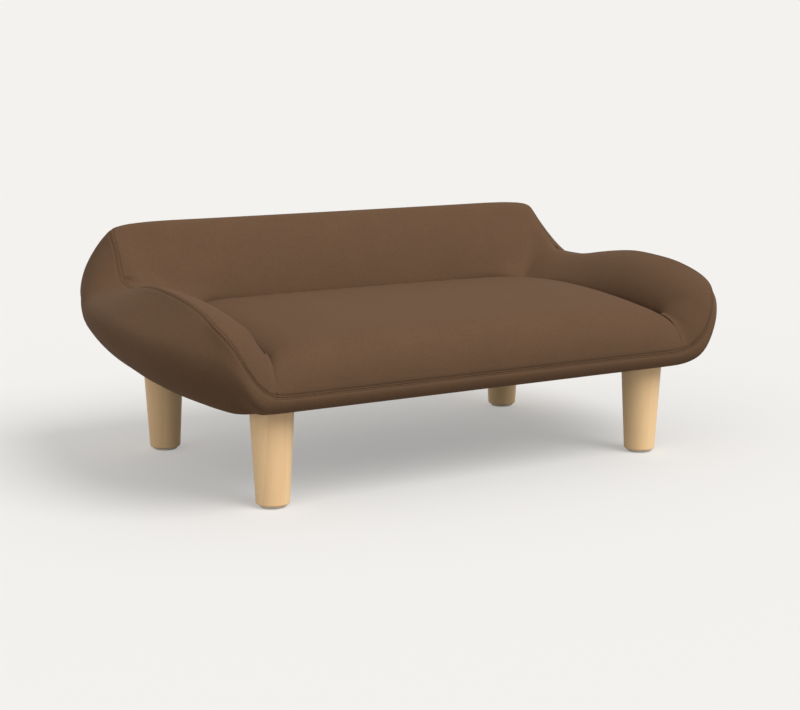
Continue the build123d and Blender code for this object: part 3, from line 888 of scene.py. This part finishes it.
    def seat(self) -> None:
        """The seat pad, crowned and rolled down to the front seam."""
        xs, dense = self.seat_places, self.seat_curves
        middle = len(xs) // 2
        length = lengths(dense)
        distance = spread(length, NEAR, 62, SEAT_TAIL)
        curve = resample(dense, distance)
        edge_x, edge_y = self.rows[self.first_arm_row:, 3:5].T
        order = np.argsort(edge_y)
        joint = self.rows[self.first_arm_row]
        s = np.concatenate([1 - SEAT_SIDE / SEAT_HALF, np.linspace(1 - 34 / SEAT_HALF, 0, 34)])
        s = np.concatenate([-s, s[::-1][1:]])
        grid = np.empty((len(s), curve.shape[1], 3))
        for j in range(curve.shape[1]):
            y = np.full(len(s), curve[middle, j, 1])
            for _ in range(3):
                half = np.interp(y, edge_y[order], edge_x[order]) - 0.4
                half = np.where(y < joint[4], np.interp(y, joint[[1, 4]], joint[[0, 3]]) - 0.05, half)
                x = s * half
                y = np.interp(x, xs, curve[:, j, 1])
            grid[:, j] = np.stack([x, y, np.interp(x, xs, curve[:, j, 2])], axis=1)
        normal = turned(grid_normals(grid), (len(s) // 2, 50), (0, 0, 1))
        from_seam = np.repeat(distance[middle][None], len(s), 0)
        lift = self.swelling.rise("seat_pad", grid, normal, from_seam)
        across = (1 - np.abs(s)) * SEAT_HALF
        grid = grid + normal * (lift * np.clip(across / self.swelling.ease, 0, 1)[:, None])[..., None]
        behind = (length[middle] - distance[middle])[None]
        roll = self.relief.seat_sink * np.exp(-across / self.relief.seat_reach)
        roll = roll[:, None] * np.clip((from_seam - 30.0) / 40.0, 0, 1)
        roll = roll + self.relief.near_joint(across[:, None], from_seam)
        sink = np.maximum(roll, self.relief.near_crease(behind)) + self.relief.near_seam(from_seam)
        grid = grid - normal * sink[..., None]
        grid[:, -1, 1] += self.rear_tuck
        self.seam_lines["seat"] = grid[:, STITCH_COLUMN], normal[:, STITCH_COLUMN]
        n, m = grid.shape[:2]
        index = np.arange(n * m).reshape(n, m)
        border = np.concatenate([index[:, 0], index[-1, 1:], index[-2::-1, -1], index[0, -2:0:-1]])
        lower = grid.reshape(-1, 3)[border]
        lower[:, 0] *= 0.985
        lower[:, 1] = np.clip(lower[:, 1], *BOARD_Y)
        lower[:, 2] = BOARD_TOP
        points = np.concatenate([grid.reshape(-1, 3), lower])
        k = np.arange(len(border))
        after = (k + 1) % len(border)
        side = np.stack([border[k], border[after], n * m + after, n * m + k], axis=1)
        faces = grid_faces(n, m).tolist() + side.tolist() + [(n * m + k).tolist()]
        seam = np.concatenate([from_seam.ravel(), np.full(len(lower), NO_SEAM)])
        piece = mesh_piece("seat_pad", points, faces, seam)
        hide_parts("seat_foam", "seat_cover")
        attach(outward(piece), BODY)

    def build(self) -> None:
        """Make every sewn piece."""
        self.outer_cover()
        self.inner_pad()
        self.seat()
        for name, (line, normal) in self.seam_lines.items():
            self.thread.row(name + "_stitches", line, normal, closed=name == "outer")


# Finishes


def shaded(colour: Colour, factor: float) -> Colour:
    """A colour made darker or lighter, no lighter than white."""
    return tuple(min(1.0, c * factor) for c in colour)


@dataclass
class Nodes:
    """Lays out the nodes of one material or world."""

    owner: Material | bpy.types.World

    def __post_init__(self) -> None:
        """Turn the nodes on."""
        self.owner.use_nodes = True

    def named(self, name: str) -> bpy.types.Node:
        """A node that is there from the start."""
        return self.owner.node_tree.nodes[name]

    @property
    def shader(self) -> bpy.types.Node:
        """The surface shader."""
        return self.named("Principled BSDF")

    def add(self, kind: str, **values) -> bpy.types.Node:
        """Add a node and set its properties and its input sockets by name."""
        node = self.owner.node_tree.nodes.new(kind)
        for key, value in values.items():
            if hasattr(node, key):
                setattr(node, key, value)
            else:
                node.inputs[key].default_value = value
        return node

    def link(self, a: Socket, b: Socket) -> None:
        """Join an output socket to an input socket."""
        self.owner.node_tree.links.new(a, b)

    def feed(self, sockets, *terms) -> None:
        """Join sockets to these, or set numbers, vectors and colours there."""
        for socket, term in zip(sockets, terms):
            if isinstance(term, Socket):
                self.link(term, socket)
            else:
                socket.default_value = (*term, 1.0) if socket.type == "RGBA" else term

    def made(self, kind: str, *terms, **values) -> Socket:
        """The first output of a new node, fed with sockets and numbers in order."""
        node = self.add(kind, **values)
        self.feed(node.inputs, *terms)
        return node.outputs[0]

    def math(self, operation: str, *terms) -> Socket:
        """The result of one operation on numbers and sockets."""
        return self.made("ShaderNodeMath", *terms, operation=operation)

    def noise(self, where, scale: float, detail: float = 3.0, roughness: float = 0.5):
        """Noise read at a place."""
        node = self.add("ShaderNodeTexNoise", Scale=scale, Detail=detail, Roughness=roughness)
        self.link(where, node.inputs["Vector"])
        return node.outputs["Fac"]

    def ramp(self, value, stops: list[tuple[float, Colour]]):
        """A colour ramp with the given stops."""
        node = self.add("ShaderNodeValToRGB")
        while len(node.color_ramp.elements) < len(stops):
            node.color_ramp.elements.new(0.5)
        for element, (place, colour) in zip(node.color_ramp.elements, stops):
            element.position = place
            element.color = (*colour, 1.0)
        self.link(value, node.inputs["Fac"])
        return node.outputs["Color"]

    def mix(self, factor, a, b):
        """Mix two colours; the factor is a number or a socket."""
        node = self.add("ShaderNodeMix", data_type="RGBA")
        self.feed((node.inputs[0], node.inputs[6], node.inputs[7]), factor, a, b)
        return node.outputs[2]

    def span(self, value, low: float, high: float, out_low: float = 0.0, out_high: float = 1.0):
        """Map one range of numbers onto another."""
        return self.made("ShaderNodeMapRange", value, low, high, out_low, out_high)

    def bump(self, height, strength: float, distance: float) -> None:
        """Add relief to the shader, on top of what is there; its distance is in metres."""
        node = self.add("ShaderNodeBump", Strength=strength, Distance=distance)
        self.link(height, node.inputs["Height"])
        normal = self.shader.inputs["Normal"]
        if normal.is_linked:
            self.link(normal.links[0].from_socket, node.inputs["Normal"])
        self.link(node.outputs["Normal"], normal)


def cloth_finish(name: str, colour: Colour, nap: float = 1.0) -> Material:
    """Matt brushed cloth with a soft nap, with painted shade in its seam grooves and along its stitch
    rows.

    Args:
        name: name of the material.
        colour: its plain colour.
        nap: how strongly the nap mottles it.

    Returns:
        The material.
    """
    n = Nodes(bpy.data.materials.new(name))
    where = n.add("ShaderNodeTexCoord").outputs["Object"]
    light, dark = shaded(colour, 1 + 0.07 * nap), shaded(colour, 1 - 0.07 * nap)
    patches = n.noise(where, 22.0, 5.0, 0.6)
    fibre = n.noise(where, 900.0, 2.0, 0.6)
    grain = n.noise(where, 260.0, 3.0, 0.6)
    tone = n.ramp(patches, [(0.30, dark), (0.70, light)])
    tone = n.mix(0.40, tone, n.ramp(fibre, [(0.3, shaded(dark, 0.9)), (0.7, shaded(light, 1.1))]))
    tone = n.mix(n.span(grain, 0.35, 0.65, 0.12, 0.0), tone, shaded(colour, 0.5))
    seam = n.add("ShaderNodeAttribute", attribute_name="seam").outputs["Fac"]
    # Painted shade: the cloth turns darker within 0.6 mm of a seam, the groove between the covers that
    # lies in shade.
    tone = n.mix(n.span(seam, 0.0, 0.6, 0.22, 0.0), tone, shaded(colour, 0.3))
    # Painted shade: a narrow darker band along each row of stitches, for the dent the stitches pull into
    # the cloth.
    beside = n.math("ABSOLUTE", n.math("SUBTRACT", seam, Relief.stitch_line))
    tone = n.mix(n.span(beside, 0.35, 0.9, 0.45, 0.0), tone, shaded(colour, 0.45))
    n.link(tone, n.shader.inputs["Base Color"])
    n.link(n.span(patches, 0.3, 0.7, 0.78, 0.88), n.shader.inputs["Roughness"])
    n.shader.inputs["Specular IOR Level"].default_value = 0.07
    n.shader.inputs["Sheen Weight"].default_value = 0.02
    n.shader.inputs["Sheen Roughness"].default_value = 0.5
    n.shader.inputs["Sheen Tint"].default_value = (1.0, 0.72, 0.50, 1.0)
    n.bump(grain, 0.30, 0.0005)
    n.bump(fibre, 0.45, 0.0003)
    return n.owner


def wood_finish(name: str, light: Colour, dark: Colour, strip: float = 0.021) -> Material:
    """Turned wood glued up from strips, its grain running up.

    Args:
        name: name of the material.
        light: colour of the pale wood.
        dark: colour of the late wood.
        strip: width of one glued strip, in metres.

    Returns:
        The material.
    """
    n = Nodes(bpy.data.materials.new(name))
    where = n.add("ShaderNodeTexCoord").outputs["Object"]
    split = n.add("ShaderNodeSeparateXYZ")
    n.link(where, split.inputs[0])
    across = n.math("MULTIPLY_ADD", split.outputs["Y"], 0.25, split.outputs["X"])
    chance = n.add("ShaderNodeTexWhiteNoise", noise_dimensions="1D")
    n.link(n.math("FLOOR", n.math("DIVIDE", across, strip)), chance.inputs["W"])
    shift = n.made("ShaderNodeVectorMath", chance.outputs["Color"], (3.0, 3.0, 3.0), where,
                   operation="MULTIPLY_ADD")
    stretch = n.made("ShaderNodeMapping", shift, Scale=(1.0, 1.0, 0.09))
    figure = n.noise(stretch, 120.0, 5.0, 0.62)
    fine = n.noise(stretch, 900.0, 2.0, 0.5)
    tone = n.ramp(figure, [(0.30, dark), (0.52, light), (0.78, shaded(light, 1.06))])
    strips = n.ramp(chance.outputs["Value"], [(0.0, shaded(light, 0.84)), (1.0, shaded(light, 1.08))])
    tone = n.mix(0.55, tone, strips)
    tone = n.mix(n.span(fine, 0.55, 0.75, 0.0, 0.22), tone, dark)
    n.link(tone, n.shader.inputs["Base Color"])
    n.link(n.span(figure, 0.2, 0.8, 0.52, 0.42), n.shader.inputs["Roughness"])
    n.shader.inputs["Specular IOR Level"].default_value = 0.35
    n.bump(fine, 0.25, 0.0002)
    return n.owner


def plain_finish(name: str, colour: Colour, roughness: float, metallic: float = 0.0) -> Material:
    """A moulded, plated or cut material with fine uneven tone.

    Args:
        name: name of the material.
        colour: its plain colour.
        roughness: how rough it is.
        metallic: 1 for metal.

    Returns:
        The material.
    """
    n = Nodes(bpy.data.materials.new(name))
    speck = n.noise(n.add("ShaderNodeTexCoord").outputs["Object"], 300.0, 3.0, 0.5)
    tone = n.ramp(speck, [(0.35, shaded(colour, 0.9)), (0.65, shaded(colour, 1.05))])
    n.link(tone, n.shader.inputs["Base Color"])
    n.link(n.span(speck, 0.3, 0.7, roughness - 0.05, roughness + 0.05), n.shader.inputs["Roughness"])
    n.shader.inputs["Metallic"].default_value = metallic
    n.bump(speck, 0.2, 0.0002)
    return n.owner


@dataclass
class Finishes:
    """One material per slot of the record."""

    made: dict[str, Material] = field(default_factory=dict)

    def build(self) -> None:
        """Make every material."""
        for make, name, *values in (
            (cloth_finish, "brown_cloth", (0.134, 0.0755, 0.0418)),
            (cloth_finish, "base_cloth", (0.02, 0.02, 0.02), 0.6),
            (plain_finish, "foam", (0.80, 0.76, 0.62), 0.9),
            (wood_finish, "plywood", (0.60, 0.42, 0.24), (0.40, 0.26, 0.13), 0.4),
            (wood_finish, "softwood", (0.68, 0.50, 0.30), (0.50, 0.33, 0.17), 0.4),
            (wood_finish, "beech", (1.0, 0.67, 0.36), (0.98, 0.60, 0.30)),
            (plain_finish, "zinc_steel", (0.62, 0.62, 0.60), 0.35, 1.0),
            (plain_finish, "glide_plastic", (0.78, 0.75, 0.68), 0.5),
        ):
            self.made[name] = make(name, *values)

    def dress(self, frame: dict) -> None:
        """Give every piece and every node of the loaded frame its material."""
        slots = {entry["node"]: entry["material_slot"] for entry in frame["record"]["subparts"]}
        for name, obj in frame["nodes"].items():
            obj.data.materials.clear()
            obj.data.materials.append(self.made[slots[name]])
            if name.startswith(("leg_", "glide_")):
                obj.data.polygons.foreach_set("use_smooth", np.ones(len(obj.data.polygons), dtype=bool))
        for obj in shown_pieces():
            if obj.type == "MESH" and not obj.data.materials:
                obj.data.materials.append(self.made["brown_cloth"])


# Stage


PALE = (0.904, 0.887, 0.863)
SKY = 0.50
LIT = 0.62
BOUNCE = 0.42
# The camera: focal length and picture width in pixels, sensor in millimetres, place in metres
FOCAL = 1642.0
WIDTH = 800.0
SENSOR = 36.0
EYE = (-1.0225, -1.7479, 0.4982)
YAW = 30.27
PITCH = 10.55


@dataclass(frozen=True)
class Sun:
    """A soft lamp that shines from a place, in metres, toward the origin."""

    name: str
    place: tuple[float, float, float]
    power: float
    angle: float


SUNS = (Sun("key", (0.85, -1.85, 2.2), 2.25, 40.0), Sun("fill", (-1.9, -0.6, 1.0), 0.34, 50.0))


def seen_only(n: Nodes, seen, plain, output) -> None:
    """Show one shader to the camera and light the object with another.

    Args:
        n: the nodes of the material or world.
        seen: shader for camera, glossy and transmission rays.
        plain: shader for the rays that light the object.
        output: the socket of the output node.
    """
    path = n.add("ShaderNodeLightPath").outputs
    total = n.math("MAXIMUM", path["Is Camera Ray"], path["Is Glossy Ray"])
    total = n.math("MAXIMUM", total, path["Is Transmission Ray"])
    n.link(n.made("ShaderNodeMixShader", total, plain, seen), output)


def floor_finish(lit: float, glow: float) -> Material:
    """Pale paper that keeps a light shadow.

    Args:
        lit: share of its colour that takes light and shadow.
        glow: share that the camera sees whatever the light.

    Returns:
        The material.
    """
    n = Nodes(bpy.data.materials.new("paper"))
    n.owner.node_tree.nodes.remove(n.shader)
    shades = (tuple(c * share for c in PALE) for share in (lit, BOUNCE))
    shade, bounce = (n.made("ShaderNodeBsdfDiffuse", colour) for colour in shades)
    both = n.made("ShaderNodeAddShader", shade, n.made("ShaderNodeEmission", PALE, glow))
    seen_only(n, both, bounce, n.named("Material Output").inputs[0])
    return n.owner


def stage() -> None:
    """Pale floor, soft light and the camera, in metres."""
    mesh = bpy.data.meshes.new("floor")
    mesh.from_pydata([(-12, -12, 0), (12, -12, 0), (12, 12, 0), (-12, 12, 0)], [], [(0, 1, 2, 3)])
    linked("floor", mesh)
    level = SKY + sum(sun.power * Vector(sun.place).normalized().z / math.pi for sun in SUNS)
    mesh.materials.append(floor_finish(LIT / level, 1.0 - LIT))

    n = Nodes(bpy.data.worlds.new("studio"))
    light = n.named("Background")
    n.feed(light.inputs, (1.0, 1.0, 1.0), SKY)
    seen_only(n, n.made("ShaderNodeBackground", PALE), light.outputs[0], n.named("World Output").inputs[0])
    scene = bpy.context.scene
    scene.world = n.owner

    for sun in SUNS:
        lamp = bpy.data.lights.new(sun.name, "SUN")
        lamp.energy = sun.power
        lamp.angle = math.radians(sun.angle)
        obj = linked(sun.name, lamp)
        obj.location = sun.place
        obj.rotation_euler = (-Vector(sun.place)).to_track_quat("-Z", "Y").to_euler()

    lens = bpy.data.cameras.new("camera")
    lens.sensor_width = SENSOR
    lens.lens = FOCAL / WIDTH * SENSOR
    camera = linked("camera", lens)
    camera.location = EYE
    yaw, pitch = math.radians(YAW), math.radians(PITCH)
    ahead = Vector((math.sin(yaw) * math.cos(pitch), math.cos(yaw) * math.cos(pitch), -math.sin(pitch)))
    camera.rotation_euler = ahead.to_track_quat("-Z", "Y").to_euler()
    scene.camera = camera
    scene.view_settings.view_transform = "Standard"


def main() -> None:
    """Build the scene."""
    logging.basicConfig(level=logging.INFO, format="%(name)s: %(message)s")
    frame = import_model()
    body = SewnBody()
    body.build()
    finishes = Finishes()
    finishes.build()
    finishes.dress(frame)
    stage()


if __name__ == "__main__":
    main()
